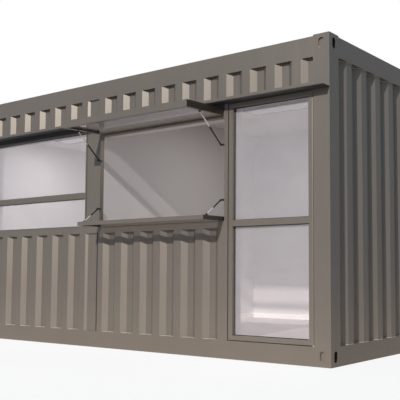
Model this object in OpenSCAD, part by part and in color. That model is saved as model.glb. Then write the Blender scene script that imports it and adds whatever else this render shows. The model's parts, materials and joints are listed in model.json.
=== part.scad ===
// Container tiny house: two mirrored rooms in a welded steel box frame.
// X runs along the long side, the front faces -Y, and Z is up.
// The origin is the middle of the footprint, level with the underside.

/* [Overall] */
// Length of the box along the front
length = 6055; // [5200:5:7200]
// Depth of the box from front to back
depth = 2990; // [2400:5:3600]
// Height to the top of the corner blocks
height = 2896; // [2500:1:3480]

/* [Frame] */
// Width of a corner block and post, along the front
post_x = 166; // [130:1:200]
// Width of a corner block and post, along the end
post_y = 160; // [130:1:200]
// Height of the bottom rails and bottom corner blocks
bottom_rail_h = 170; // [140:1:205]
// Height of the top rails
top_rail_h = 184; // [150:1:221]
// Depth of every rail, into the building
rail_t = 100; // [80:1:120]
// How far a top corner block stands above the rails
block_rise = 12; // [8:1:16]
// Thickness of the floor boards
floor_t = 28; // [18:1:36]
// Width of a cross member under the floor
joist_w = 50; // [40:1:60]
// Height of a cross member under the floor
joist_h = 90; // [75:1:100]
// Number of cross members under the floor
joist_count = 9; // [5:1:12]

/* [Corner block slots] */
// Length of a locking slot, along the building
lock_slot_len = 124; // [110:1:130]
// Width of a locking slot
lock_slot_w = 63.5; // [50:0.5:70]
// Depth of a locking slot
lock_slot_depth = 60; // [40:1:75]
// Height of a lashing slot
side_slot_h = 98; // [80:1:118]
// Width of a lashing slot
side_slot_w = 56; // [45:1:67]
// Depth of a lashing slot
side_slot_depth = 16; // [10:1:18]
// Distance of a lashing slot's middle from the outer end of its block
side_slot_z = 85; // [70:1:90]

/* [Walls] */
// Whole thickness of a wall
wall_t = 170; // [140:1:204]
// Depth of the steel front members, the dark part of a reveal
steel_t = 68; // [60:1:82]
// Pitch of the wall corrugation
wave_pitch = 282.4; // [240:0.1:340]
// Width of the outer flats of the corrugation
wave_crest = 95; // [80:1:115]
// Width of the inner flats of the corrugation
wave_trough = 76; // [62:1:92]
// Depth of the side wall corrugation
wave_depth = 40; // [34:1:48]
// Depth of the end wall corrugation
end_wave_depth = 46; // [38:1:55]
// How far an end wall lies behind its frame
end_setback = 10; // [4:1:14]
// Thickness of the corrugated sheet
sheet_t = 3; // [2:0.5:4]
// Thickness of the ceiling panel
ceiling_t = 40; // [30:1:50]

/* [Roof] */
// Pitch of the roof corrugation
roof_pitch = 209; // [180:1:250]
// Width of the ridges of the roof corrugation
roof_crest = 90; // [75:1:105]
// Width of the valleys of the roof corrugation
roof_trough = 79; // [65:1:94]
// How far the ridges lie below the rails
roof_drop = 4; // [2:1:6]
// Depth of the roof corrugation
roof_depth = 20; // [16:1:24]

/* [Front] */
// Gap from a post to the nearest edge of its mullion
door_bay = 955; // [800:1:1146]
// Width of a mullion between door and window
mullion_w = 43; // [36:1:52]
// Width of the pillar between the two rooms, and of the party wall behind it
pillar_w = 218; // [180:1:262]
// Top of the sill
sill_z = 1289; // [1080:1:1540]
// Height of the sill rail
sill_h = 66; // [55:1:79]
// Underside of the eave plate, the top of the door bays
eave_z = 2409; // [2250:1:2450]
// Height of the header rail under the eave
header_h = 49; // [41:1:59]
// How far the eave plate stands out
eave_out = 112; // [90:1:134]
// Thickness of the eave plate
eave_t = 6; // [4:1:8]
// Height of the flat strip above the eave
fascia_h = 66; // [55:1:79]
// How far the pillar lies behind the outer flats of the corrugation
pillar_setback = 18; // [12:1:22]
// Width of the pillar's outer lip beside a panel
pillar_lip = 14; // [13:1:18]
// Width of the slope between lip and pillar
pillar_flank = 28; // [22:1:34]
// Width of the open seam between pillar and right lower panel
seam_w = 12; // [8:1:12]
// Depth of that seam
seam_depth = 30; // [24:1:36]
// Height of the hatch's own head rail under the header
hatch_head_h = 80; // [66:1:96]

/* [Doors] */
// Running gap around a door leaf
leaf_gap = 7; // [6:0.5:9]
// How far a leaf lies behind the front
leaf_setback = 4; // [2:1:6]
// Thickness of a leaf
leaf_t = 54; // [45:1:65]
// Width of a stile
stile_w = 48; // [42:1:58]
// Height of the top and bottom rails of a leaf
leaf_rail_h = 42; // [36:1:50]
// Height of the middle rail of a leaf
mid_rail_h = 58; // [48:1:70]
// Top of the middle rail of a leaf
mid_rail_z = 1290; // [1100:1:1540]
// Thickness of the door glass
door_glass_t = 10; // [8:1:12]
// Depth of the door glass behind the front
door_glass_y = 38; // [34:1:42]
// Radius of a pivot pin
pivot_r = 5; // [4:0.5:6]
// Radial clearance of a pivot pin
pivot_gap = 0.2; // [0.1:0.1:0.4]
// Distance of the pivot axis from the leaf's edge and face
pivot_inset = 9; // [8:0.5:12]
// Depth of a pivot pin in the leaf
pivot_depth = 20; // [15:1:24]
// Radius of the bearing washer under a leaf
washer_r = 8; // [6:0.5:8]
// Running gap over the bearing washer
washer_gap = 0.4; // [0.2:0.1:0.5]
// Width of the door stops
stop_w = 26; // [24:1:31]
// Height of the threshold behind the leaf
threshold_h = 20; // [16:1:24]

/* [Window] */
// Width of the slim window frame
window_frame_w = 15; // [12:1:18]
// Depth of the window frame
window_frame_t = 48; // [40:1:50]
// How far the window frame lies behind the front
window_setback = 10; // [6:1:12]
// Height of the transom
transom_h = 62; // [52:1:74]
// Underside of the transom above the sill
transom_rise = 326; // [270:1:391]
// Thickness of the window glass
window_glass_t = 8; // [6:1:10]

/* [Hatch flap and shelf] */
// Length of the flap, outwards
flap_len = 520; // [430:1:624]
// Thickness of the flap's frame
flap_t = 66; // [55:1:79]
// Width of the frame members of flap and shelf
sash_bar_w = 42; // [35:1:50]
// Height of the flap's pane above the underside of its frame
flap_pane_rise = 20; // [16:1:24]
// Thickness of the panes in flap and shelf
sash_pane_t = 8; // [6:1:10]
// Slope of the open flap
flap_slope = 1; // [0:0.5:3]
// Gap at each end of flap and shelf
flap_gap = 9; // [6:1:11]
// How far the flap's back edge laps the hatch's head rail
flap_lap = 20; // [16:1:24]
// Gap between flap and front wall
flap_back_gap = 8; // [7:1:10]
// Distance from the shelf's front edge to the front wall
shelf_out = 292; // [245:1:350]
// Thickness of the shelf
shelf_t = 40; // [33:1:48]
// How far the shelf reaches in over the sill
shelf_seat = 30; // [25:1:36]
// Depth of the shelf's pane below the top of its frame
shelf_pane_drop = 4; // [2:1:6]
// Height of the hinge above the flap's lower edge
hinge_rise = 22; // [18:1:26]
// Running gap beside the hinge barrel
hinge_gap = 0.3; // [0.2:0.1:0.5]
// Thickness of the hinge's leaf
hinge_leaf_t = 2.5; // [2:0.5:3]
// Height of the hinge's leaf
hinge_leaf_h = 30; // [25:1:36]

/* [Struts] */
// Radius of a gas strut's cylinder
strut_r = 8; // [7:0.5:9]
// Radius of a gas strut's rod
strut_rod_r = 5.5; // [4.5:0.5:6]
// Share of a strut's length that its cylinder takes
strut_share = 0.55; // [0.45:0.05:0.65]
// Height of a flap strut's lower pin above the sill
strut_rise = 723; // [600:1:780]
// Outward reach of a flap strut
strut_reach = 325; // [270:1:390]
// Height of a shelf stay's upper pin above the sill
stay_rise = 197; // [165:1:236]
// Outward reach of a shelf stay
stay_reach = 219; // [183:1:240]
// Radius of a shelf stay's upper tube
stay_r = 7; // [6:0.5:8]
// Radius of the pivot eyes
eye_r = 9; // [8:0.5:11]
// Width of the pivot eyes
eye_w = 14; // [12:1:17]
// Distance of a strut's line from its jamb
strut_inset = 22; // [19:1:26]
// Running gap at the ends of a strut
strut_gap = 0.3; // [0.2:0.1:0.5]
// Thickness of the bracket on a jamb
bracket_t = 5; // [4:1:6]

/* [Lamps] */
// Length of a ceiling lamp
lamp_len = 1200; // [1000:5:1400]
// Width of a ceiling lamp
lamp_w = 250; // [210:1:300]
// Thickness of a ceiling lamp
lamp_t = 40; // [33:1:48]
// Distance from a mullion to the middle of its room's lamp
lamp_in = 156; // [130:1:187]
// Distance from the middle of the building to the middle of a lamp, towards the front
lamp_forward = 75; // [60:1:90]

/* [Hidden] */
$fn = 48;

paint = [0.47, 0.44, 0.41];
shade = [0.33, 0.31, 0.29];
white = [0.86, 0.85, 0.86];
board = [0.75, 0.72, 0.7];
clear = [0.75, 0.82, 0.86, 0.4];
steel = [0.8, 0.8, 0.8];
dark = [0.15, 0.15, 0.15];

half_l = length / 2;
half_d = depth / 2;
rail_top = height - block_rise;
ceiling_z = rail_top - top_rail_h;
post_h = ceiling_z - bottom_rail_h;
span_x = length - 2 * post_x;
span_y = depth - 2 * post_y;
mull_in = half_l - post_x - door_bay;      // edge of a mullion next to the door
mull_out = mull_in - mullion_w;            // edge of a mullion next to the window
pillar_x = pillar_w / 2;
bay_w = mull_out - pillar_x;               // width of a window opening
bay_x = pillar_x + bay_w / 2;              // middle of a window opening
head_z = eave_z - header_h;                // top of a window opening
hatch_top_z = head_z - hatch_head_h;       // top of the hatch opening
band_z = eave_z + fascia_h;                // underside of the corrugated band
leaf_x1 = half_l - post_x - leaf_gap;      // hinge edge of a leaf
leaf_x0 = mull_in + leaf_gap;              // free edge of a leaf
leaf_z0 = bottom_rail_h + leaf_gap;
leaf_z1 = eave_z - leaf_gap;
pivot_x = leaf_x1 - pivot_inset;
pivot_y = leaf_setback + pivot_inset;
stop_y = leaf_setback + leaf_t + leaf_gap; // front of the door stops
shelf_z = sill_z + shelf_t;                // top of the shelf
lamp_y = half_d - lamp_forward;            // middle of a lamp behind the front
eps = 1;

// ---- helpers ----

// Front frame of reference: y = 0 is the front face and y grows into the building.
module at_front() translate([0, -half_d, 0]) children();

// The same, for the back wall, seen from behind.
module at_back() rotate([0, 0, 180]) at_front() children();

// The same, for the right end wall; x = 0 is the middle of the end.
module at_right_end() rotate([0, 0, 90]) translate([0, -half_l, 0]) children();

// Both sides of the middle plane x = 0.
module both_sides() {
    children();
    mirror([1, 0, 0]) children();
}

// All four corners, from the right front one.
module four_corners() both_sides() {
    children();
    mirror([0, 1, 0]) children();
}

// A box from its lowest corner to its highest.
module box(a, b) translate(a) cube(b - a);

// A slot with round ends: len along x, w along y, d along z.
module slot(len, w, d) linear_extrude(d) {
    square([len - w, w], center = true);
    for (s = [-1, 1]) translate([s * (len - w) / 2, 0]) circle(d = w);
}

// A corrugated sheet that runs along x, with its outer flats at y = 0.
module waved_sheet(x0, x1, z0, z1, pitch, crest, trough, d, t) {
    first = floor(x0 / pitch) - 1;
    last = ceil(x1 / pitch) + 1;
    outer = [for (i = [first:last]) each [
        [i * pitch - trough / 2, d],
        [i * pitch + trough / 2, d],
        [(i + 0.5) * pitch - crest / 2, 0],
        [(i + 0.5) * pitch + crest / 2, 0]
    ]];
    n = len(outer);
    inner = [for (i = [0:n - 1]) outer[n - 1 - i] + [0, t]];
    intersection() {
        translate([0, 0, z0]) linear_extrude(z1 - z0) polygon(concat(outer, inner));
        box([x0, -eps, z0 - eps], [x1, d + t + eps, z1 + eps]);
    }
}

// A frame of four bars of width w around a through hole.
module ring(a, b, w) difference() {
    box(a, b);
    box([a[0] + w, a[1] + w, a[2] - eps], [b[0] - w, b[1] - w, b[2] + eps]);
}

// A round bar from one point to another.
module bar(a, b, r) {
    v = b - a;
    translate(a) rotate([0, acos(v[2] / norm(v)), atan2(v[1], v[0])])
        cylinder(h = norm(v), r = r);
}

// ---- box frame ----

// Right front corner block, with its underside at z = 0; lock_up puts the locking slot on top.
module corner_block(h, lock_up) {
    lock_z = lock_up ? h - lock_slot_depth : -eps;
    side_z = lock_up ? h - side_slot_z : side_slot_z;
    difference() {
        box([half_l - post_x, -half_d, 0], [half_l, -half_d + post_y, h]);
        translate([half_l - post_x / 2, -half_d + post_y / 2, lock_z])
            slot(lock_slot_len, lock_slot_w, lock_slot_depth + eps);
        translate([half_l - post_x / 2, -half_d + side_slot_depth, side_z])
            rotate([90, 90, 0]) slot(side_slot_h, side_slot_w, side_slot_depth + eps);
        translate([half_l - side_slot_depth, -half_d + post_y / 2, side_z])
            rotate([0, 90, 0]) slot(side_slot_h, side_slot_w, side_slot_depth + eps);
    }
}

module bottom_corner_blocks() color(paint) four_corners() corner_block(bottom_rail_h, false);

module top_corner_blocks() color(paint) four_corners()
    translate([0, 0, ceiling_z]) corner_block(top_rail_h + block_rise, true);

module corner_posts() color(paint) four_corners()
    box([half_l - post_x, -half_d, bottom_rail_h], [half_l, -half_d + post_y, ceiling_z]);

// A pair of long rails, at the front and the back.
module side_rails(z, h) {
    at_front() box([-span_x / 2, 0, z], [span_x / 2, rail_t, z + h]);
    at_back() box([-span_x / 2, 0, z], [span_x / 2, rail_t, z + h]);
}

// A pair of short rails, at the two ends.
module end_rails(z, h) both_sides() at_right_end()
    box([-span_y / 2, 0, z], [span_y / 2, rail_t, z + h]);

module bottom_side_rails() color(paint) side_rails(0, bottom_rail_h);
module bottom_end_rails() color(paint) end_rails(0, bottom_rail_h);
module top_side_rails() color(paint) side_rails(ceiling_z, top_rail_h);
module top_end_rails() color(paint) end_rails(ceiling_z, top_rail_h);

// ---- floor and roof ----

module floor_joists() color(shade) for (i = [1:joist_count])
    translate([-span_x / 2 + i * span_x / (joist_count + 1), 0, bottom_rail_h - floor_t - joist_h / 2])
        cube([joist_w, depth - 2 * rail_t, joist_h], center = true);

// The deck is notched round the corner blocks, which stand further in than the rails.
module floor_deck() color(board) difference() {
    box([-half_l + rail_t, -half_d + rail_t, bottom_rail_h - floor_t],
        [half_l - rail_t, half_d - rail_t, bottom_rail_h]);
    four_corners() box([half_l - post_x, -half_d, 0], [half_l, -half_d + post_y, height]);
}

module roof_sheet() color(paint) difference() {
    translate([0, -half_d + rail_t, rail_top - roof_drop]) rotate([-90, 0, 0])
        waved_sheet(-half_l + rail_t, half_l - rail_t, 0, depth - 2 * rail_t,
            roof_pitch, roof_crest, roof_trough, roof_depth, sheet_t);
    four_corners() box([half_l - post_x, -half_d, 0], [half_l, -half_d + post_y, height]);
}

module ceiling_panel() color(white) difference() {
    box([-half_l + rail_t, -half_d + rail_t, ceiling_z],
        [half_l - rail_t, half_d - rail_t, ceiling_z + ceiling_t]);
    four_corners() box([half_l - post_x, -half_d, 0], [half_l, -half_d + post_y, height]);
}

// ---- back and end walls ----

module back_wall_panel() color(paint) at_back()
    waved_sheet(-span_x / 2, span_x / 2, bottom_rail_h, ceiling_z,
        wave_pitch, wave_crest, wave_trough, wave_depth, sheet_t);

module back_wall_lining() color(white) at_back()
    box([-span_x / 2, wave_depth + sheet_t, bottom_rail_h], [span_x / 2, wall_t, ceiling_z]);

// The end corrugation has an outer flat in the middle of the wall.
module end_wall_panels() color(paint) both_sides() at_right_end()
    translate([wave_pitch / 2, end_setback, 0])
    waved_sheet(-span_y / 2 - wave_pitch / 2, span_y / 2 - wave_pitch / 2, bottom_rail_h, ceiling_z,
        wave_pitch, wave_crest, wave_trough, end_wave_depth, sheet_t);

// The linings fit between the posts, and inside the front and back walls.
module end_wall_linings() color(white) both_sides() at_right_end()
    box([-half_d + wall_t, end_setback + end_wave_depth + sheet_t, bottom_rail_h],
        [half_d - wall_t, wall_t, ceiling_z]);

// ---- front wall ----

module front_band_panels() color(paint) at_front() both_sides()
    waved_sheet(pillar_x, half_l - post_x, band_z, ceiling_z,
        wave_pitch, wave_crest, wave_trough, wave_depth, sheet_t);

module front_fascia() color(paint) at_front()
    box([-span_x / 2, 0, eave_z], [span_x / 2, steel_t, band_z]);

module eave_plate() color(dark) at_front()
    box([-half_l, -eave_out, eave_z], [half_l, 0, eave_z + eave_t]);

module header_rails() color(paint) at_front() both_sides()
    box([pillar_x, 0, head_z], [mull_out, steel_t, eave_z]);

module hatch_head_rail() color(paint) at_front()
    box([pillar_x, 0, hatch_top_z], [mull_out, steel_t, head_z]);

module sill_rails() color(paint) at_front() both_sides()
    box([pillar_x, 0, sill_z - sill_h], [mull_out, steel_t, sill_z]);

// Half of the pillar's plan, from its middle to its right side: a shallow channel with a lip.
function half_channel() = [
    [pillar_x - pillar_lip - pillar_flank, pillar_setback],
    [pillar_x - pillar_lip, 0],
    [pillar_x, 0],
    [pillar_x, steel_t]
];

// The channel between two panels, from z0 to z1.
module pillar_channel(z0, z1) translate([0, 0, z0]) linear_extrude(z1 - z0)
    polygon(concat([for (i = [3:-1:0]) [-half_channel()[i][0], half_channel()[i][1]]], half_channel()));

// The pillar, flush with sill and header, and the strip that carries its line up through the band.
module centre_pillar() color(paint) at_front() {
    difference() {
        pillar_channel(bottom_rail_h, sill_z - sill_h);
        box([pillar_x - seam_w, -eps, bottom_rail_h - eps], [pillar_x + eps, seam_depth, sill_z - sill_h]);
    }
    box([-pillar_x, 0, sill_z - sill_h], [pillar_x, steel_t, sill_z]);
    box([-pillar_x, pillar_setback, sill_z], [pillar_x, steel_t, head_z]);
    box([-pillar_x, 0, head_z], [pillar_x, steel_t, eave_z]);
    pillar_channel(band_z, ceiling_z);
}

module door_mullions() color(paint) at_front() both_sides()
    box([mull_out, 0, bottom_rail_h], [mull_in, steel_t, eave_z]);

module front_lower_panels() color(paint) at_front() both_sides()
    waved_sheet(pillar_x, mull_out, bottom_rail_h, sill_z - sill_h,
        wave_pitch, wave_crest, wave_trough, wave_depth, sheet_t);

module front_lower_linings() color(white) at_front() both_sides()
    box([pillar_x, steel_t, bottom_rail_h], [mull_in, wall_t, sill_z]);

module front_upper_linings() color(white) at_front() {
    box([pillar_x, steel_t, hatch_top_z], [mull_out, wall_t, ceiling_z]);
    box([-mull_out, steel_t, head_z], [-pillar_x, wall_t, ceiling_z]);
}

module mullion_linings() color(white) at_front() both_sides()
    box([mull_out, steel_t, sill_z], [mull_in, wall_t, ceiling_z]);

module door_head_linings() color(white) at_front() both_sides()
    box([mull_in, steel_t, eave_z], [half_l - post_x, wall_t, ceiling_z]);

module party_wall() color(white)
    box([-pillar_x, -half_d + steel_t, bottom_rail_h], [pillar_x, half_d - wall_t, ceiling_z]);

// ---- window of the left room ----

transom_z = sill_z + transom_rise;

module window_rails() color(shade) at_front() for (z = [
    [sill_z, sill_z + window_frame_w],
    [transom_z, transom_z + transom_h],
    [head_z - window_frame_w, head_z]
]) box([-mull_out + window_frame_w, window_setback, z[0]],
       [-pillar_x - window_frame_w, window_setback + window_frame_t, z[1]]);

module window_stiles() color(shade) at_front() for (x = [-mull_out, -pillar_x - window_frame_w])
    box([x, window_setback, sill_z], [x + window_frame_w, window_setback + window_frame_t, head_z]);

module window_glass() color(clear) at_front() for (z = [
    [sill_z + window_frame_w, transom_z],
    [transom_z + transom_h, head_z - window_frame_w]
]) translate([0, window_setback + (window_frame_t - window_glass_t) / 2, 0])
    box([-mull_out + window_frame_w, 0, z[0]], [-pillar_x - window_frame_w, window_glass_t, z[1]]);

// ---- hatch of the right room ----

flap_x0 = pillar_x + flap_gap;
flap_x1 = mull_out - flap_gap;

flap_z = hatch_top_z + flap_lap;

// The flap's own frame: it runs from y = 0 to y = -flap_len, with its underside at z = 0.
module at_flap() at_front()
    translate([0, -flap_back_gap, flap_z]) rotate([flap_slope, 0, 0]) children();

module hatch_flap() color(paint) at_flap()
    ring([flap_x0, -flap_len, 0], [flap_x1, 0, flap_t], sash_bar_w);

module hatch_flap_glass() color(clear) at_flap()
    box([flap_x0 + sash_bar_w, -flap_len + sash_bar_w, flap_pane_rise],
        [flap_x1 - sash_bar_w, -sash_bar_w, flap_pane_rise + sash_pane_t]);

// A full-length hinge: a barrel between flap and wall, and its leaf on the head rail.
module hatch_hinge() color(dark) at_front() {
    z = flap_z + hinge_rise;
    back = flap_back_gap + hinge_rise * tan(flap_slope);
    r = back / 2 - hinge_gap;
    translate([flap_x0, -back / 2, z]) rotate([0, 90, 0]) cylinder(h = flap_x1 - flap_x0, r = r);
    box([flap_x0, -hinge_leaf_t - hinge_gap, z], [flap_x1, 0, z + hinge_leaf_h]);
}

// The shelf lies on the sill and reaches out from it.
module serving_shelf() color(paint) at_front()
    ring([flap_x0, -shelf_out, sill_z], [flap_x1, shelf_seat, shelf_z], sash_bar_w);

module serving_shelf_glass() color(clear) at_front()
    box([flap_x0 + sash_bar_w, -shelf_out + sash_bar_w, shelf_z - shelf_pane_drop - sash_pane_t],
        [flap_x1 - sash_bar_w, shelf_seat - sash_bar_w, shelf_z - shelf_pane_drop]);

// The struts lie in planes beside the jambs. A point is [distance from the jamb, y, z].
flap_under_z = flap_z - strut_reach * sin(flap_slope);
strut_low = [strut_inset, -strut_inset, sill_z + strut_rise];
strut_high = [strut_inset + flap_gap, -strut_reach, flap_under_z - eye_r - strut_gap];
stay_high = [strut_inset, -strut_inset, sill_z + stay_rise];
stay_low = [strut_inset + flap_gap, -stay_reach, shelf_z + eye_r + strut_gap];

// Both jambs of the hatch, each with x = 0 on its face and x growing into the opening.
module at_jambs() at_front() {
    translate([pillar_x, 0, 0]) children();
    translate([mull_out, 0, 0]) mirror([1, 0, 0]) children();
}

// The point that is d from a on the way to b.
function towards(a, b, d) = a + (b - a) * d / norm(b - a);

// The point where a strut's cylinder ends and its rod begins.
function strut_joint(a, b) = a + (b - a) * strut_share;

module strut_cylinders() color(dark) at_jambs() {
    bar(towards(strut_low, strut_high, eye_r + strut_gap), strut_joint(strut_low, strut_high), strut_r);
    bar(towards(stay_high, stay_low, eye_r + strut_gap), strut_joint(stay_high, stay_low), stay_r);
}

module strut_rods() color(steel) at_jambs() {
    bar(strut_joint(strut_low, strut_high), towards(strut_high, strut_low, eye_r + strut_gap), strut_rod_r);
    bar(strut_joint(stay_high, stay_low), towards(stay_low, stay_high, eye_r + strut_gap), strut_rod_r);
}

// An eye on a stud that stands on the jamb's front edge.
module jamb_eye(p) {
    translate([p[0] - eye_w / 2, p[1], p[2]]) rotate([0, 90, 0]) cylinder(h = eye_w, r = eye_r);
    translate([0, p[1], p[2]]) rotate([0, 90, 0]) cylinder(h = p[0], r = strut_rod_r);
    box([0, p[1] - eye_r, p[2] - eye_r], [bracket_t, steel_t / 2, p[2] + eye_r]);
}

// An eye that lies against the flap or the shelf.
module free_eye(p) translate([p[0] - eye_w / 2, p[1], p[2]]) rotate([0, 90, 0])
    cylinder(h = eye_w, r = eye_r);

module strut_brackets() color(dark) at_jambs() {
    jamb_eye(strut_low);
    jamb_eye(stay_high);
    free_eye(strut_high);
    free_eye(stay_low);
}

// ---- doors ----

stop_x0 = mull_in + stop_w;
stop_x1 = half_l - post_x - stop_w;

module door_jambs() color(shade) at_front() both_sides() {
    box([mull_in, stop_y, bottom_rail_h], [stop_x0, wall_t, eave_z]);
    box([stop_x1, stop_y, bottom_rail_h], [half_l - post_x, wall_t, eave_z]);
}

module door_frame_rails() color(shade) at_front() both_sides() {
    box([stop_x0, stop_y, bottom_rail_h], [stop_x1, wall_t, bottom_rail_h + threshold_h]);
    box([stop_x0, stop_y, eave_z - stop_w], [stop_x1, wall_t, eave_z]);
}

// A pin into each end of the leaf; the lower one has a bearing washer under the leaf.
module door_pivot_pins() color(steel) at_front() both_sides() translate([pivot_x, pivot_y, 0]) {
    translate([0, 0, bottom_rail_h]) {
        cylinder(h = leaf_gap + pivot_depth, r = pivot_r);
        cylinder(h = leaf_gap - washer_gap, r = washer_r);
    }
    translate([0, 0, leaf_z1 - pivot_depth]) cylinder(h = leaf_gap + pivot_depth, r = pivot_r);
}

// Two stiles; the hinge stile has a nose that is round about the pivot axis.
module leaf_stiles() at_front() {
    box([leaf_x0, leaf_setback, leaf_z0], [leaf_x0 + stile_w, leaf_setback + leaf_t, leaf_z1]);
    difference() {
        union() {
            box([leaf_x1 - stile_w, leaf_setback, leaf_z0], [pivot_x, leaf_setback + leaf_t, leaf_z1]);
            box([leaf_x1 - stile_w, pivot_y, leaf_z0], [leaf_x1, leaf_setback + leaf_t, leaf_z1]);
            translate([pivot_x, pivot_y, leaf_z0]) cylinder(h = leaf_z1 - leaf_z0, r = pivot_inset);
        }
        for (z = [leaf_z0 - eps, leaf_z1 - pivot_depth - eps])
            translate([pivot_x, pivot_y, z]) cylinder(h = pivot_depth + 2 * eps, r = pivot_r + pivot_gap);
    }
}

// Heights of the bottom, middle and top rails of a leaf.
leaf_rail_spans = [
    [leaf_z0, leaf_z0 + leaf_rail_h],
    [mid_rail_z - mid_rail_h, mid_rail_z],
    [leaf_z1 - leaf_rail_h, leaf_z1]
];

module leaf_rails() at_front() for (z = leaf_rail_spans)
    box([leaf_x0 + stile_w, leaf_setback, z[0]], [leaf_x1 - stile_w, leaf_setback + leaf_t, z[1]]);

module leaf_glass() at_front() for (i = [0, 1])
    box([leaf_x0 + stile_w, door_glass_y, leaf_rail_spans[i][1]],
        [leaf_x1 - stile_w, door_glass_y + door_glass_t, leaf_rail_spans[i + 1][0]]);

module right_door_stiles() color(paint) leaf_stiles();
module right_door_rails() color(paint) leaf_rails();
module right_door_glass() color(clear) leaf_glass();
module left_door_stiles() color(paint) mirror([1, 0, 0]) leaf_stiles();
module left_door_rails() color(paint) mirror([1, 0, 0]) leaf_rails();
module left_door_glass() color(clear) mirror([1, 0, 0]) leaf_glass();

// ---- lamps ----

module ceiling_lamps() color(white) at_front() both_sides()
    translate([mull_out - lamp_in, lamp_y, ceiling_z - lamp_t / 2])
        cube([lamp_len, lamp_w, lamp_t], center = true);

bottom_corner_blocks();
top_corner_blocks();
corner_posts();
bottom_side_rails();
bottom_end_rails();
top_side_rails();
top_end_rails();
floor_joists();
floor_deck();
roof_sheet();
ceiling_panel();
back_wall_panel();
back_wall_lining();
end_wall_panels();
end_wall_linings();
front_band_panels();
front_fascia();
eave_plate();
header_rails();
hatch_head_rail();
sill_rails();
centre_pillar();
door_mullions();
front_lower_panels();
front_lower_linings();
front_upper_linings();
mullion_linings();
door_head_linings();
party_wall();
window_rails();
window_stiles();
window_glass();
hatch_flap();
hatch_flap_glass();
hatch_hinge();
serving_shelf();
serving_shelf_glass();
strut_cylinders();
strut_rods();
strut_brackets();
door_jambs();
door_frame_rails();
door_pivot_pins();
right_door_stiles();
right_door_rails();
right_door_glass();
left_door_stiles();
left_door_rails();
left_door_glass();
ceiling_lamps();
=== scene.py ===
"""Looks of a container tiny house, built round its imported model. Lengths are in metres."""
import json
import math

import bpy
import numpy as np
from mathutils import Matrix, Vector


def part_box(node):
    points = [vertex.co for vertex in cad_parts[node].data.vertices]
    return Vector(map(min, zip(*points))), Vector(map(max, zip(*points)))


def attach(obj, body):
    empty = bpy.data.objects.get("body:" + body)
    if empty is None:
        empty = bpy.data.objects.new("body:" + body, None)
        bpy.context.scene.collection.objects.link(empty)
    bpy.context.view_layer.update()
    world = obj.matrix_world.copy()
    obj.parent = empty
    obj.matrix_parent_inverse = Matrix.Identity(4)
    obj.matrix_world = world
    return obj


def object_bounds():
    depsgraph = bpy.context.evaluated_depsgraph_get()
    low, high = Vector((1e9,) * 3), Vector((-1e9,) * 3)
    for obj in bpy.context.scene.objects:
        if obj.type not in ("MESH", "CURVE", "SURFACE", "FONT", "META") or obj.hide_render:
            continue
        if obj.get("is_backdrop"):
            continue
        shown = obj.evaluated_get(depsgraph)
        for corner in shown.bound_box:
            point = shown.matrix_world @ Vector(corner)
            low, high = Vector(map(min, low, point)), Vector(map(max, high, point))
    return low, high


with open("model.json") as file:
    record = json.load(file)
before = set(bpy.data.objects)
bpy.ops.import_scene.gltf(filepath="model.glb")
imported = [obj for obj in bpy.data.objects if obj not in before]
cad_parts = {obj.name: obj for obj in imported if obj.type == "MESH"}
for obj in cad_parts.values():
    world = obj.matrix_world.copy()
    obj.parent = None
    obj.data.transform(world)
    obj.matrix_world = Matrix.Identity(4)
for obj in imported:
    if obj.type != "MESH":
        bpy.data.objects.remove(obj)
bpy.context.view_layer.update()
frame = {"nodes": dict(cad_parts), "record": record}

# ---------------------------------------------------------------- sizes, all read from the frame

LOW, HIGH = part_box("corner_posts")
FRONT_Y, BACK_Y = LOW.y, HIGH.y
RIGHT_X = HIGH.x
TOP_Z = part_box("top_corner_blocks")[1].z


# ---------------------------------------------------------------- shader helpers

class Value:
    """An output socket in a node tree; sums and products of values add Math nodes."""

    def __init__(self, finish, socket):
        self.finish = finish
        self.socket = socket

    def math(self, operation, *others):
        inputs = {i: v for i, v in enumerate((self,) + others)}
        return self.finish.add("ShaderNodeMath", {"operation": operation}, inputs)

    def __add__(self, other):
        return self.math("ADD", other)

    def __radd__(self, other):
        return self.math("ADD", other)

    def __sub__(self, other):
        return self.math("SUBTRACT", other)

    def __rsub__(self, other):
        return self.finish.add("ShaderNodeMath", {"operation": "SUBTRACT"}, {0: other, 1: self})

    def __mul__(self, other):
        return self.math("MULTIPLY", other)

    def __rmul__(self, other):
        return self.math("MULTIPLY", other)

    def __truediv__(self, other):
        return self.math("DIVIDE", other)

    def __pow__(self, other):
        return self.math("POWER", other)

    def __gt__(self, other):
        return self.math("GREATER_THAN", other)

    def __lt__(self, other):
        return self.math("LESS_THAN", other)

    def clamp(self):
        return self.finish.add("ShaderNodeClamp", {}, {0: self})

    def abs(self):
        return self.math("ABSOLUTE")

    def fold(self, pitch):
        """Distance to the nearest multiple of pitch."""
        return self.math("PINGPONG", pitch / 2)


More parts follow.
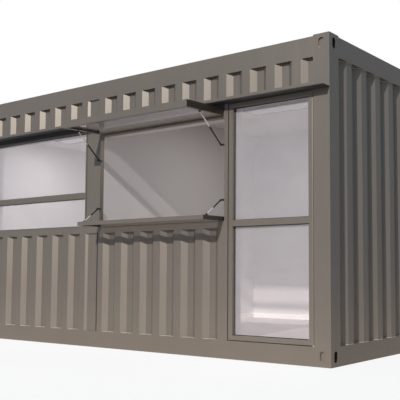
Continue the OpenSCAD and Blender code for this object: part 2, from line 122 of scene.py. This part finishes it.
class Finish:
    """One material under construction."""

    def __init__(self, name, world=False):
        blocks = bpy.data.worlds if world else bpy.data.materials
        self.material = blocks.new(name)
        self.material.use_nodes = True
        self.tree = self.material.node_tree
        self.tree.nodes.clear()
        self.output = self.tree.nodes.new("ShaderNodeOutputWorld" if world else "ShaderNodeOutputMaterial")

    def add(self, kind, settings=None, inputs=None, out=0):
        """Adds a node: its settings first, then its inputs by name or number. Gives one output."""
        node = self.tree.nodes.new(kind)
        for key, value in (settings or {}).items():
            if key == "stops":
                self.set_stops(node.color_ramp, value)
            else:
                setattr(node, key, value)
        for key, value in (inputs or {}).items():
            socket = node.inputs[key]
            if isinstance(value, Value):
                self.tree.links.new(value.socket, socket)
            elif isinstance(value, bpy.types.NodeSocket):
                self.tree.links.new(value, socket)
            else:
                socket.default_value = value
        return Value(self, node.outputs[out])

    @staticmethod
    def set_stops(ramp, stops):
        while len(ramp.elements) < len(stops):
            ramp.elements.new(0.5)
        for element, (position, grey) in zip(ramp.elements, stops):
            element.position = position
            element.color = (grey, grey, grey, 1)

    def place(self):
        """The point in the object's own coordinates."""
        return self.add("ShaderNodeTexCoord", out="Object")

    def axes(self):
        """The x, y and z of the point, as three values."""
        node = self.tree.nodes.new("ShaderNodeSeparateXYZ")
        self.tree.links.new(self.place().socket, node.inputs[0])
        return [Value(self, node.outputs[i]) for i in range(3)]

    def stretched(self, sx, sy, sz):
        """The point with each axis multiplied."""
        return self.add("ShaderNodeVectorMath", {"operation": "MULTIPLY"},
                        {0: self.place(), 1: (sx, sy, sz)})

    def noise(self, vector, scale, detail=3.0, rough=0.5):
        inputs = {"Vector": vector, "Scale": scale, "Detail": detail, "Roughness": rough}
        return self.add("ShaderNodeTexNoise", {}, inputs, out="Fac")

    def between(self, factor, a, b):
        """Mixes two colours, each an RGB triple or a value."""
        ends = [c if isinstance(c, Value) else tuple(c) + (1,) for c in (a, b)]
        return self.add("ShaderNodeMix", {"data_type": "RGBA"}, {0: factor, 6: ends[0], 7: ends[1]}, out=2)

    def ramp(self, factor, *stops):
        return self.add("ShaderNodeValToRGB", {"stops": stops}, {0: factor})

    def bump(self, height, distance, strength=1.0):
        inputs = {"Height": height, "Distance": distance, "Strength": strength}
        return self.add("ShaderNodeBump", {}, inputs)

    def looking(self, axis):
        """1 on a face that looks along this axis, 0 on one side-on to it, -1 on one that looks back."""
        normal = self.add("ShaderNodeNewGeometry", out="Normal")
        return self.add("ShaderNodeSeparateXYZ", {}, {0: normal}, out=axis)

    def principled(self, **inputs):
        """A Principled shader; names use _ for spaces."""
        named = {key.replace("_", " "): value for key, value in inputs.items()}
        return self.add("ShaderNodeBsdfPrincipled", {}, named)

    def close(self, shader):
        """Makes this shader the material's surface."""
        self.tree.links.new(shader.socket, self.output.inputs["Surface"])
        return self.material

    def surface(self, **inputs):
        """Closes the material with a Principled shader."""
        return self.close(self.principled(**inputs))


def srgb(red, green, blue):
    """A colour from its 0-255 display values, as linear light."""
    def linear(c):
        c = c / 255
        return c / 12.92 if c <= 0.04045 else ((c + 0.055) / 1.055) ** 2.4
    return (linear(red), linear(green), linear(blue))


def scaled(colour, k):
    return tuple(c * k for c in colour)


# ---------------------------------------------------------------- finishes

def wall_paint(name, colour, rough=0.42, dust=0.5, flake=0.6, painted_pocket_shade=False, painted_end_shade=False):
    """Satin paint with a metal flake on steel: faded patches, rain streaks, dust near the ground, fine
    peel, and upward faces painted lighter, partly dust and partly painted light. With pockets, the hollows
    cut into a corner block's end face get painted shade, nearly black; with painted_end_shade, the faces
    that look along X get painted shade, near black."""
    f = Finish(name)
    x, y, z = f.axes()
    patches = f.noise(f.place(), 0.7, 2.0)
    streaks = f.noise(f.stretched(9, 9, 0.35), 1.6, 4.0, 0.6)
    grain = f.noise(f.place(), 260, 2.0)
    ground = f.ramp(z / 0.6, (0.0, 1.0), (1.0, 0.0)) * f.noise(f.stretched(1, 1, 3), 5, 4.0)
    # upward faces painted lighter, towards srgb(176, 168, 156): partly dust, partly painted light where
    # light falls on the tops
    ledge_dust_and_light = f.looking("Z").clamp() * f.noise(f.place(), 7, 4.0)
    tone = (patches - 0.5) * 0.20 + (streaks - 0.5) * 0.16 + (grain - 0.5) * 0.05
    base = f.between((tone + 0.5).clamp(), scaled(colour, 0.86), scaled(colour, 1.14))
    base = f.between((ground * dust * 0.35).clamp(), base, srgb(150, 142, 130))
    base = f.between((ledge_dust_and_light * dust * 1.5).clamp(), base, srgb(176, 168, 156))
    # painted shade: the hollows inside a corner block go nearly black, srgb(22, 21, 21), where shade falls
    # in the recess
    if painted_pocket_shade:
        inside = (x.abs() < RIGHT_X - 0.002) * (y.abs() < BACK_Y - 0.03)
        middle = z.fold(TOP_Z) > 0.02
        base = f.between(inside * middle * 0.9, base, srgb(22, 21, 21))
    # painted shade: faces that look along X are painted near black, srgb(40, 38, 35), for the shade on the
    # frame ends
    if painted_end_shade:
        base = f.between((f.looking("X").abs() > 0.9) * 0.85, base, srgb(40, 38, 35))
    shine = rough + (streaks - 0.5) * 0.14 + (patches - 0.5) * 0.10 + ground * 0.15
    peel = f.noise(f.place(), 420, 1.0) * 0.6 + f.noise(f.place(), 22, 2.0) * 0.4
    return f.surface(Base_Color=base, Roughness=shine, Metallic=flake, Specular_IOR_Level=0.8,
                     Normal=f.bump(peel, 0.0010, 0.20))


def lining_paint(name, colour):
    """Flat white wall panel: faint roller texture, soft clouds and scuffs near the floor."""
    f = Finish(name)
    z = f.axes()[2]
    roller = f.noise(f.place(), 130, 3.0)
    cloud = f.noise(f.place(), 1.1, 2.0)
    scuffs = f.ramp(z / 0.9, (0.15, 1.0), (1.0, 0.0)) * f.noise(f.stretched(6, 6, 1.5), 4, 5.0, 0.7)
    base = f.between((cloud * 0.5 + roller * 0.2).clamp(), scaled(colour, 0.96), scaled(colour, 1.02))
    base = f.between((scuffs * 0.22).clamp(), base, scaled(colour, 0.72))
    return f.surface(Base_Color=base, Roughness=0.55 + (roller - 0.5) * 0.1,
                     Normal=f.bump(roller, 0.0012, 0.3))


def floor_sheet(name, colour):
    """Pale vinyl: long boards printed along X, with fine grain and narrow joints."""
    f = Finish(name)
    y = f.axes()[1]
    grain = f.noise(f.stretched(1.5, 22, 1), 6, 5.0, 0.6)
    boards = y.fold(0.18) < 0.0012
    base = f.between(grain, scaled(colour, 0.86), scaled(colour, 1.06))
    base = f.between(boards, base, scaled(colour, 0.6))
    return f.surface(Base_Color=base, Roughness=0.38 + grain * 0.15,
                     Normal=f.bump(grain - boards, 0.0006, 0.4))


def clear_glass(name, tint, sky_reflection_share=0.05):
    """Float glass: clear with a slight tint, mirroring more towards a grazing view
    (0.04 + 0.96 * (1 - cosine)^5), under a pale film that stands in for the sky the pane mirrors."""
    f = Finish(name)
    wipe = f.noise(f.stretched(1, 1, 3), 3.5, 4.0, 0.6)
    facing = f.add("ShaderNodeLayerWeight", {}, {"Blend": 0.5}, out="Facing")
    mirror = facing ** 5 * 0.96 + 0.04
    clear = f.add("ShaderNodeBsdfTransparent", {}, {"Color": tuple(tint) + (1,)})
    gloss = f.principled(Base_Color=(0.92, 0.93, 0.95, 1), Metallic=1.0, Roughness=wipe * 0.06 + 0.01)
    # the pale film mixed into the pane is a painted reflection of the sky
    pale = f.between(wipe, srgb(222, 217, 220), srgb(238, 235, 238))
    film = f.principled(Base_Color=pale, Roughness=0.6)
    pane = f.add("ShaderNodeMixShader", {}, {0: sky_reflection_share + (wipe - 0.5) * 0.05, 1: clear, 2: film})
    return f.close(f.add("ShaderNodeMixShader", {}, {0: mirror, 1: pane, 2: gloss}))


def bright_metal(name, colour, rough=0.2, metal=1.0):
    """Polished or plated metal with fine turning marks."""
    f = Finish(name)
    marks = f.noise(f.stretched(40, 40, 400), 8, 2.0)
    return f.surface(Base_Color=f.between(marks, scaled(colour, 0.92), colour), Metallic=metal,
                     Roughness=rough + marks * 0.12, Normal=f.bump(marks, 0.0002, 0.3))


def enamel(name, colour, rough=0.3):
    """Hard gloss coating with a little dust and fine peel."""
    f = Finish(name)
    dust = f.noise(f.place(), 30, 4.0)
    peel = f.noise(f.place(), 600, 1.0)
    return f.surface(Base_Color=f.between(dust, colour, scaled(colour, 1.35)), Roughness=rough + dust * 0.2,
                     Normal=f.bump(peel, 0.0004, 0.3))


def timber_board(name, colour):
    """Weathered underside boards and primed joists."""
    f = Finish(name)
    grain = f.noise(f.stretched(3, 30, 3), 5, 5.0, 0.65)
    return f.surface(Base_Color=f.between(grain, scaled(colour, 0.75), scaled(colour, 1.15)),
                     Roughness=0.7 + grain * 0.2, Normal=f.bump(grain, 0.001, 0.5))


PAINT = srgb(137, 128, 119)
WHITE = srgb(222, 218, 217)

finishes = {
    "paint": wall_paint("warm_grey_paint", PAINT),
    # the dark_paint slot's near black, srgb(44, 42, 43), is painted shade: it stands in for the deep shade
    # under the eave
    "dark_paint": wall_paint("near_black_painted_eave_shade", srgb(44, 42, 43), 0.6, 0.1, 0.0),
    "lining": lining_paint("white_lining", WHITE),
    "floor": floor_sheet("pale_floor", srgb(206, 196, 194)),
    "underframe": timber_board("primed_underframe", srgb(86, 80, 76)),
    "glass": clear_glass("clear_glass", srgb(251, 250, 252), 0.19),
    "frame": wall_paint("coated_aluminium", srgb(134, 125, 116), 0.42, 0.0),
    "strut": enamel("black_enamel", srgb(26, 25, 25)),
    "rod": bright_metal("polished_rod", srgb(232, 230, 226), 0.18, 0.35),
    "lamp": enamel("lamp_white", srgb(226, 224, 222), 0.4),
}

own_finish = {
    # corner blocks: their hollows carry painted shade
    "top_corner_blocks": wall_paint("corner_block_paint_pocket_shade", PAINT, painted_pocket_shade=True),
    # flap and shelf frames: their end faces carry painted shade, near black
    "hatch_flap": wall_paint("frame_paint_painted_end_shade", PAINT, painted_end_shade=True),
    "door_jambs": finishes["lining"],
}
own_finish["bottom_corner_blocks"] = own_finish["top_corner_blocks"]
own_finish["serving_shelf"] = own_finish["hatch_flap"]
own_finish["door_frame_rails"] = finishes["lining"]

for part in frame["record"]["subparts"]:
    mesh = frame["nodes"][part["node"]].data
    mesh.materials.clear()
    mesh.materials.append(own_finish.get(part["node"], finishes[part["material_slot"]]))


# ---------------------------------------------------------------- added pieces

def separate(name):
    """The solids of a CAD node, each as its array of points: triangles that share a point belong
    together, found by passing the lowest label on until nothing changes."""
    mesh = frame["nodes"][name].data
    points = np.empty(len(mesh.vertices) * 3)
    mesh.vertices.foreach_get("co", points)
    points = points.reshape(-1, 3)
    _, same = np.unique(np.round(points, 6), axis=0, return_inverse=True)
    corners = np.empty(len(mesh.loops), dtype=int)
    mesh.loops.foreach_get("vertex_index", corners)
    corners = same.reshape(-1)[corners].reshape(-1, 3)
    label = np.arange(same.max() + 1)
    while True:
        lowest = label[corners].min(axis=1)
        new = label.copy()
        np.minimum.at(new, corners.reshape(-1), np.repeat(lowest, 3))
        if (new == label).all():
            break
        label = new
    owner = label[same.reshape(-1)]
    return [points[owner == k] for k in np.unique(owner)]


def build(name, parts, finish, body="shell", smooth=False):
    """One object from a list of (points, quads)."""
    points, faces, start = [], [], 0
    for p, q in parts:
        points.append(p)
        faces.append(q + start)
        start += len(p)
    points, faces = np.concatenate(points), np.concatenate(faces)
    mesh = bpy.data.meshes.new(name)
    mesh.from_pydata(points.tolist(), [], faces.tolist())
    mesh.polygons.foreach_set("use_smooth", np.full(len(faces), smooth))
    mesh.update()
    mesh.materials.append(finish)
    obj = bpy.data.objects.new(name, mesh)
    bpy.context.scene.collection.objects.link(obj)
    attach(obj, body)


def span(points):
    """The lowest and highest corner of a set of points."""
    return points.min(axis=0), points.max(axis=0)


def ring_grid(rows, columns, close_rows):
    """Quads of a grid of points whose columns close on themselves, and its rows too if asked."""
    i = np.arange(rows if close_rows else rows - 1)[:, None]
    j = np.arange(columns)[None, :]
    below, right = (i + 1) % rows, (j + 1) % columns
    corners = [i * columns + j, i * columns + right, below * columns + right, below * columns + j]
    return np.stack(np.broadcast_arrays(*corners), axis=-1).reshape(-1, 4)


def lids(grid, quads):
    """Fills both ends of a tube whose rings have an even number of points, with fans of quads that turn
    the same way as the tube's own."""
    rows, sides = grid.shape[:2]
    k = np.arange(1, sides - 1, 2)
    fan = np.stack([0 * k, k, k + 1, k + 2], axis=1)
    return grid.reshape(-1, 3), np.concatenate([quads, fan[:, ::-1], fan + (rows - 1) * sides])


def surround(low, high, normal, profile):
    """A mitred strip round a rectangle: for the profile point (u, v), corner k of the loop stands at
    (+-(a + u), +-(b + u)) in the rectangle's plane, a and b being its half sides, and at v along its
    normal axis. Profiles run anticlockwise in (u, v)."""
    low, high = np.array(low), np.array(high)
    first, second = [(1, 2), (2, 0), (0, 1)][normal]
    signs = np.array([(-1, -1), (1, -1), (1, 1), (-1, 1)])
    u, v = np.array(profile).T
    half = (high - low) / 2
    grid = np.empty((4, len(u), 3))
    grid[:, :, first] = signs[:, :1] * (half[first] + u)
    grid[:, :, second] = signs[:, 1:] * (half[second] + u)
    grid[:, :, normal] = v
    centre = (low + high) / 2
    centre[normal] = 0
    return (grid + centre).reshape(-1, 3), ring_grid(4, len(u), True)[:, ::-1]


def rounded(width, height, steps=5):
    """A quarter-round bead's profile, anticlockwise in (u, v): the origin, then the arc
    (width cos t, height sin t)."""
    t = np.linspace(0, math.pi / 2, steps)
    arc = np.stack([width * np.cos(t), height * np.sin(t)], axis=1)
    return np.concatenate([[(0, 0)], arc])


def bead(path, radius, step=0.008, swell=0.18, sides=6):
    """A run of filler along a path: at arc length s the tube's radius is
    radius (1 + swell sin^2(pi s / (2 step))), its ring lies across the path, and both ends taper and
    are filled."""
    path = np.array(path, dtype=float)
    legs = np.linalg.norm(np.diff(path, axis=0), axis=1)
    along = np.concatenate([[0], np.cumsum(legs)])
    count = max(int(along[-1] / step), 4)
    s = np.unique(np.concatenate([np.linspace(0, along[-1], count), along]))
    line = np.stack([np.interp(s, along, path[:, k]) for k in range(3)], axis=1)
    heading = np.gradient(line, axis=0)
    heading /= np.linalg.norm(heading, axis=1)[:, None]
    helper = np.array([0, 0, 1.0]) if abs(heading[0, 2]) < 0.9 else np.array([1.0, 0, 0])
    across = np.cross(heading, helper)
    across /= np.linalg.norm(across, axis=1)[:, None]
    upward = np.cross(across, heading)
    size = radius * (1 + swell * np.sin(math.pi * s / (2 * step)) ** 2)
    size[[0, -1]] = radius * 0.02
    t = np.arange(sides) * 2 * math.pi / sides
    cosine, sine = np.cos(t)[None, :, None], np.sin(t)[None, :, None]
    ring = across[:, None, :] * cosine + upward[:, None, :] * sine
    grid = line[:, None, :] + ring * size[:, None, None]
    points, quads = lids(grid, ring_grid(len(s), sides, False))
    return points, quads[:, ::-1]


def bar(low, high, axis, profile):
    """A straight moulding: the profile's (u, v) points carried along one axis from low to high, u and v
    being metres along the two other axes in turn, with its ends filled. The profile is convex, with an even
    number of points."""
    first, second = [(1, 2), (0, 2), (0, 1)][axis]
    u, v = np.array(profile).T
    grid = np.empty((2, len(u), 3))
    grid[:, :, axis] = np.array([low, high])[:, None]
    grid[:, :, first] = u
    grid[:, :, second] = v
    return lids(grid, ring_grid(2, len(u), False))


def foot_line(points, across, outward, wave):
    """The outer line of a wavy sheet's lower edge: its points at the outermost place along one axis, or
    one wave depth inside it, in order along the other axis."""
    foot = points[points[:, 2] < points[:, 2].min() + 0.001]
    out = foot[:, across] * outward
    edge = out.max()
    keep = (np.abs(out - edge) < 2e-4) | (np.abs(out - edge + wave) < 2e-4)
    line = np.unique(np.round(foot[keep], 5), axis=0)
    line = line[np.argsort(line[:, 1 - across])]
    limit = (RIGHT_X, BACK_Y)[across] - 0.0045
    line[:, across] = outward * np.minimum(line[:, across] * outward, limit)
    return line


rubber = enamel("black_rubber", srgb(24, 24, 25), 0.6)
filler = enamel("pale_filler", srgb(168, 160, 150), 0.5)
trim = enamel("white_trim", srgb(216, 213, 211), 0.45)

# glazing beads: a quarter-round rubber strip round both faces of every upright pane
GASKET_W, GASKET_H = 0.006, 0.004
gasket = rounded(GASKET_W, GASKET_H)
for name, body in (("window", "shell"), ("left_door", "shell"), ("right_door", "right_door")):
    strips = []
    for points in separate(name + "_glass"):
        low, high = span(points)
        strips.append(surround(low, high, 1, [(-u, low[1] - v) for u, v in gasket]))
        strips.append(surround(low, high, 1, [(-u, high[1] + v) for u, v in gasket[::-1]]))
    build(name + "_gasket", strips, rubber, body, smooth=True)

# door seals: a rubber strip in the gap round each leaf, held by the frame
SEAL_NEAR, SEAL_FAR, SEAL_DEPTH = 0.0035, 0.0060, 0.010
for side in ("left", "right"):
    low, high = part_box(side + "_door_stiles")
    inner, back = high.y - SEAL_DEPTH, high.y
    outline = [(SEAL_NEAR, inner), (SEAL_FAR, inner), (SEAL_FAR, back), (SEAL_NEAR, back)]
    seal = surround(low, high, 1, outline)
    build(side + "_door_seal", [seal], rubber)



# pale filler along the feet of the wavy sheets, and along the tops and upright edges of the end ones
FRONT_WAVE, END_WAVE = 0.040, 0.046
FILLER_R = 0.004
runs = []
for points in separate("front_lower_panels"):
    runs.append(bead(foot_line(points, 1, -1, FRONT_WAVE), FILLER_R))
for points in separate("end_wall_panels"):
    outward = 1 if points[:, 0].mean() > 0 else -1
    line = foot_line(points, 0, outward, END_WAVE)
    rise = (0, 0, np.ptp(points[:, 2]))
    runs.append(bead(line, FILLER_R))
    runs.append(bead(line + rise, FILLER_R))
    for foot in (line[0], line[-1]):
        runs.append(bead([foot, foot + rise], FILLER_R))
build("sheet_joint_filler", runs, filler, smooth=True)

# roof sealant: a flat fillet over the joint between the roof sheet and the top rails
low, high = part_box("roof_sheet")
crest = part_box("top_side_rails")[1].z - 0.001
fillet = [(-0.030, crest - 0.008), (0.004, crest - 0.008), (0.004, crest - 0.002), (-0.004, crest),
          (-0.026, crest)]
build("roof_joint_sealant", [surround(low, high, 2, fillet)], rubber)

# lamp rims: a metal edge round the diffuser of each lamp
rims = []
for points in separate("ceiling_lamps"):
    low, high = span(points)
    z = low[2]
    rims.append(surround(low, high, 2, [(-0.014, z - 0.004), (0.004, z - 0.004), (0.004, z + 0.012),
                                        (0.001, z + 0.012), (0.001, z - 0.001), (-0.014, z - 0.001)]))
build("lamp_rims", rims, bright_metal("lamp_rim_metal", srgb(150, 148, 150), 0.35))

# skirting: a small white moulding along the inner walls, left out at the doorways
SKIRT_H, SKIRT_T = 0.060, 0.010
SKIRT_GAP = 0.0005
floor_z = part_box("floor_deck")[1].z
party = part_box("party_wall")[1].x
inside_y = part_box("party_wall")[1].y
room_end = RIGHT_X - (BACK_Y - inside_y)
door_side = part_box("mullion_linings")[1].x
profile = np.array([(0, 0), (SKIRT_T, 0), (SKIRT_T, SKIRT_H * 0.80), (SKIRT_T * 0.8, SKIRT_H * 0.93),
                    (SKIRT_T * 0.4, SKIRT_H), (0, SKIRT_H)])
mouldings = []
for side in (-1, 1):
    z = profile[:, 1] + floor_z
    for way, stop, wall in ((-1, door_side, -inside_y), (1, room_end, inside_y)):
        outline = np.stack([wall - way * profile[:, 0], z], axis=1)
        ends = (party, stop) if side > 0 else (-stop, -party)
        mouldings.append(bar(ends[0], ends[1], 0, outline if way < 0 else outline[::-1]))
    for wall, way in ((party, 1), (room_end, -1)):
        outline = np.stack([side * (wall + way * profile[:, 0]), z], axis=1)
        reach = inside_y - SKIRT_T - SKIRT_GAP
        mouldings.append(bar(-reach, reach, 1, outline if way * side < 0 else outline[::-1]))
build("skirting", mouldings, trim)

# strut collars: a rolled rim near each end of every gas cylinder: its profile, as (metres along the
# cylinder, share of its radius), is turned round the cylinder's axis
COLLAR_SIDES = 20
COLLAR_INSET = 0.007
RIM = np.array([(-0.004, 0.9), (0.004, 0.9), (0.004, 1.12), (0.002, 1.2), (-0.002, 1.2), (-0.004, 1.12)])
collars = []
for points in separate("strut_cylinders"):
    centre = points.mean(axis=0)
    _, _, axes = np.linalg.svd(points - centre, full_matrices=False)
    t = (points - centre) @ axes[0]
    size = np.linalg.norm(points - centre - t[:, None] * axes[0], axis=1).max()
    turn = np.arange(COLLAR_SIDES) * 2 * math.pi / COLLAR_SIDES
    spoke = np.cos(turn)[:, None] * axes[1] + np.sin(turn)[:, None] * axes[2]
    quads = ring_grid(COLLAR_SIDES, len(RIM), True)
    if np.linalg.det(axes) < 0:
        quads = quads[:, ::-1]
    for place in (t.min() + COLLAR_INSET, t.max() - COLLAR_INSET):
        ring = centre + (place + RIM[:, :1])[None] * axes[0]
        ring = ring + spoke[:, None, :] * (RIM[:, 1] * size)[None, :, None]
        collars.append((ring.reshape(-1, 3), quads))
build("strut_collars", collars, finishes["strut"])

# hinge knuckles: a barrel along the hatch hinge, its radius dropping at every joint between knuckles
KNUCKLE_PITCH = 0.060
KNUCKLE_R, PIN_R = 0.0034, 0.0022
RINGS, SIDES = 700, 10
low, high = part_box("hatch_hinge")
s = np.linspace(low.x + 0.004, high.x - 0.004, RINGS)
radius = np.where(np.abs((s / KNUCKLE_PITCH) % 1 - 0.5) > 0.48, PIN_R, KNUCKLE_R)
t = np.arange(SIDES) * 2 * math.pi / SIDES
middle = np.array([(low.y + high.y) / 2, low.z - 0.001])
grid = np.stack([np.repeat(s[:, None], SIDES, axis=1), middle[0] + radius[:, None] * np.cos(t),
                 middle[1] + radius[:, None] * np.sin(t)], axis=-1)
build("hinge_knuckles", [lids(grid, ring_grid(RINGS, SIDES, False))], finishes["rod"])


# ---------------------------------------------------------------- stage, light and camera

def pale_floor():
    """A large flat floor that reads near white to the camera, takes the shadow, and throws back less
    light than it shows, so that the walls keep their own shade."""
    bpy.ops.mesh.primitive_plane_add(size=80, location=(0, 0, -0.002))
    floor = bpy.context.object
    floor.name = "stage_floor"
    f = Finish("stage_floor_white")
    seen = f.add("ShaderNodeLightPath", out="Is Camera Ray")
    away = f.add("ShaderNodeVectorMath", {"operation": "LENGTH"}, {0: f.place()}, out="Value")
    bounce = f.between(f.ramp(away / 9, (0.40, 0.0), (1.0, 1.0)), (0.74, 0.66, 0.60), (0.22, 0.23, 0.25))
    tone = f.between(seen, bounce, (0.90, 0.90, 0.90))
    plain = f.add("ShaderNodeBsdfDiffuse", {}, {"Color": tone})
    glow = f.add("ShaderNodeEmission", {}, {"Color": (1, 1, 1, 1), "Strength": 1.0})
    f.close(f.add("ShaderNodeMixShader", {}, {0: seen * 0.8, 1: plain, 2: glow}))
    floor.data.materials.append(f.material)
    floor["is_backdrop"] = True


def sky(level, tint, mirrored):
    """An even world: white to the eye and through glass, a softer tint as light, and between the two
    in reflections: mirrored is how much of the white they show."""
    f = Finish("studio_world", world=True)
    camera_ray, glossy_ray, through_ray = [
        f.add("ShaderNodeLightPath", out=ray)
        for ray in ("Is Camera Ray", "Is Glossy Ray", "Is Transmission Ray")]
    seen = (camera_ray + through_ray + glossy_ray * mirrored).clamp()
    light = f.add("ShaderNodeBackground", {}, {"Color": tuple(tint) + (1,), "Strength": level})
    white = f.add("ShaderNodeBackground", {}, {"Color": (1, 1, 1, 1), "Strength": 1.0})
    bpy.context.scene.world = f.close(f.add("ShaderNodeMixShader", {}, {0: seen, 1: light, 2: white}))


def key_light(towards, strength, softness):
    """A soft sun, from the direction towards."""
    data = bpy.data.lights.new("key_light", "SUN")
    data.energy = strength
    data.angle = math.radians(softness)
    data.color = (1.0, 0.965, 0.92)
    lamp = bpy.data.objects.new("key_light", data)
    lamp.rotation_euler = Vector(towards).to_track_quat("Z", "Y").to_euler()
    bpy.context.scene.collection.objects.link(lamp)


def room_light(name, node_low, node_high, power):
    """A soft panel of light just under a ceiling lamp."""
    data = bpy.data.lights.new(name, "AREA")
    data.shape = "RECTANGLE"
    data.size = node_high.x - node_low.x
    data.size_y = node_high.y - node_low.y
    data.energy = power
    lamp = bpy.data.objects.new(name, data)
    middle = (node_low + node_high) / 2
    lamp.location = (middle.x, middle.y, node_low.z - 0.01)
    bpy.context.scene.collection.objects.link(lamp)


def camera():
    """A long lens, low down off the right front corner, turned 35 degrees to the left."""
    data = bpy.data.cameras.new("camera")
    data.lens = 65.57
    data.sensor_width = 36
    data.shift_x = -0.176
    data.shift_y = 0.037
    data.clip_end = 200
    turn, tilt = math.radians(35.40), math.radians(4.32)
    obj = bpy.data.objects.new("camera", data)
    obj.location = (RIGHT_X + 3.174, FRONT_Y - 5.348, 0.826)
    ahead = Vector((-math.sin(turn) * math.cos(tilt), math.cos(turn) * math.cos(tilt), math.sin(tilt)))
    obj.rotation_euler = ahead.to_track_quat("-Z", "Y").to_euler()
    bpy.context.scene.collection.objects.link(obj)
    bpy.context.scene.camera = obj


pale_floor()
sky(0.32, (0.66, 0.82, 1.0), 0.05)
key_light((0.2, -1.0, 0.60), 3.3, 1.5)
lamp_low, lamp_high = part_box("ceiling_lamps")
LAMP_LEN = 1.2
right_lamp_low = Vector((lamp_high.x - LAMP_LEN, lamp_low.y, lamp_low.z))
left_lamp_high = Vector((lamp_low.x + LAMP_LEN, lamp_high.y, lamp_high.z))
room_light("right_room_light", right_lamp_low, lamp_high, 12)
room_light("left_room_light", lamp_low, left_lamp_high, 20)
camera()

scene = bpy.context.scene
scene.view_settings.view_transform = "Standard"

low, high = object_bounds()
